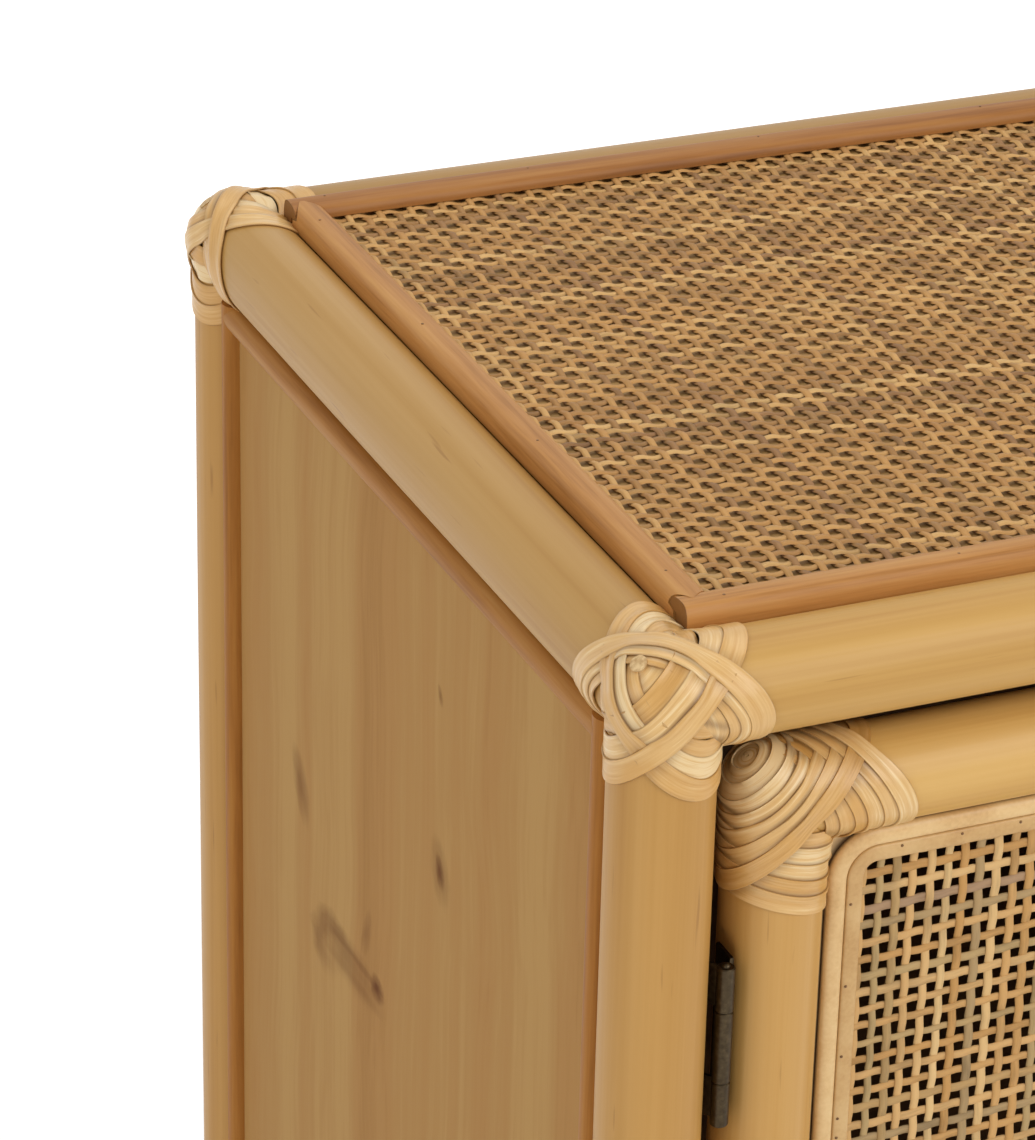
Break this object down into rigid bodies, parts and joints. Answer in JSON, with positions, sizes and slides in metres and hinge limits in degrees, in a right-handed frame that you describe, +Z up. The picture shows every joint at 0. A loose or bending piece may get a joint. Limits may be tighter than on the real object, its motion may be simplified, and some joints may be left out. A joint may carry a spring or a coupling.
{
  "type": "storage side table with door",
  "caption": "Rattan pole side table with a woven cane top, pine sides and a hinged cane door over a shelf, its pole corners bound with wound rattan peel.",
  "frame": {"origin": "on the floor under the middle of the overall box, knob included", "axes": "+Z up, -Y is the front with the door, +X is to the right seen from the front"},
  "size_m": [0.456, 0.3664, 0.6001],
  "materials": {
    "rattan_pole": "semi-gloss lacquer",
    "rattan_peel": "semi-gloss",
    "stained_strip": "satin stain",
    "cane_webbing": "satin",
    "pine_board": "satin lacquer",
    "plywood": "matt",
    "rattan_bead": "satin lacquer",
    "turned_wood": "satin lacquer",
    "bronze": "aged",
    "nylon": "matt",
    "catch_plastic": "matt",
    "steel_plate": "brushed"
  },
  "bodies": {
    "cabinet": {"back_panel": "plywood", "bottom_binding_bands": "rattan_peel", "bottom_board": "plywood", "bottom_rail_back": "rattan_pole", "bottom_rail_front": "rattan_pole", "bottom_rail_left": "rattan_pole", "bottom_rail_right": "rattan_pole", "catch_body": "catch_plastic", "foot_glides": "nylon", "hinge_lower_pin": "bronze", "hinge_lower_post_leaf": "bronze", "hinge_upper_pin": "bronze", "hinge_upper_post_leaf": "bronze", "inner_shelf": "plywood", "post_back_left": "rattan_pole", "post_back_right": "rattan_pole", "post_front_left": "rattan_pole", "post_front_right": "rattan_pole", "shelf_cleat_left": "plywood", "shelf_cleat_right": "plywood", "side_panel_left": "pine_board", "side_panel_right": "pine_board", "side_strips_left": "stained_strip", "side_strips_right": "stained_strip", "top_binding_bands": "rattan_peel", "top_binding_swirls": "rattan_peel", "top_board": "plywood", "top_rail_back": "rattan_pole", "top_rail_front": "rattan_pole", "top_rail_left": "rattan_pole", "top_rail_right": "rattan_pole", "top_strip_back": "stained_strip", "top_strip_front": "stained_strip", "top_strip_left": "stained_strip", "top_strip_right": "stained_strip", "top_webbing": "cane_webbing"},
    "door": {"catch_strike_plate": "steel_plate", "door_bead_back": "rattan_bead", "door_bead_inner": "rattan_bead", "door_bead_outer": "rattan_bead", "door_binding_bands": "rattan_peel", "door_binding_coils": "rattan_peel", "door_knob": "turned_wood", "door_rail_bottom": "rattan_pole", "door_rail_top": "rattan_pole", "door_stile_hinge": "rattan_pole", "door_stile_latch": "rattan_pole", "door_webbing": "cane_webbing", "hinge_lower_door_leaf": "bronze", "hinge_upper_door_leaf": "bronze"}
  },
  "joints": [
    {"name": "door_hinge", "type": "hinge", "parent": "cabinet", "child": "door", "pos_m": [-0.193, -0.15935, 0.35], "axis": [0, 0, -1], "range_deg": [0, 105]}
  ]
}
